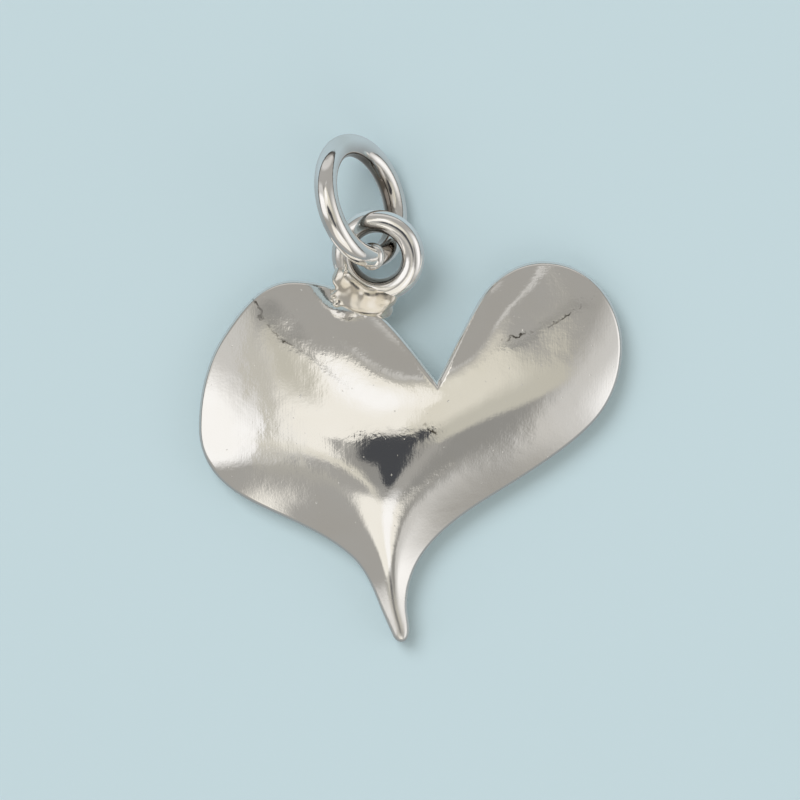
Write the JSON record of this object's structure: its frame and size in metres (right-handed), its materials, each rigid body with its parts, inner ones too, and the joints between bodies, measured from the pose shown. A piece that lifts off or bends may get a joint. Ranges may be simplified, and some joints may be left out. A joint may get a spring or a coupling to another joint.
{
  "type": "heart charm",
  "caption": "Asymmetric puffed heart charm in polished silver, with a soldered wire eye and a loose jump ring for hanging it on a chain or bracelet.",
  "frame": {"origin": "on the flat back, under the middle of the dome", "axes": "+Z out of the dome, towards the viewer of the picture; +Y from the tail towards the jump ring; +X towards the longer lobe"},
  "size_m": [0.0186, 0.0222, 0.0051],
  "materials": {
    "front_silver": "polished",
    "back_silver": "satin",
    "seam_solder": "satin",
    "wire_silver": "polished",
    "eye_solder_tan": "satin",
    "bead_solder": "polished"
  },
  "bodies": {
    "charm": {"front_shell": "front_silver", "back_plate": "back_silver", "rim_solder": "seam_solder", "eye_ring": "wire_silver", "eye_solder": "eye_solder_tan"},
    "ring": {"jump_ring": "wire_silver", "jump_ring_solder": "bead_solder"}
  },
  "joints": [
    {"name": "jump_ring_swing", "type": "hinge", "parent": "charm", "child": "ring", "pos_m": [-0.00026, 0.01019, 0.00234], "axis": [0.9716, -0.206, 0.1161], "range_deg": [-90, 30]}
  ]
}
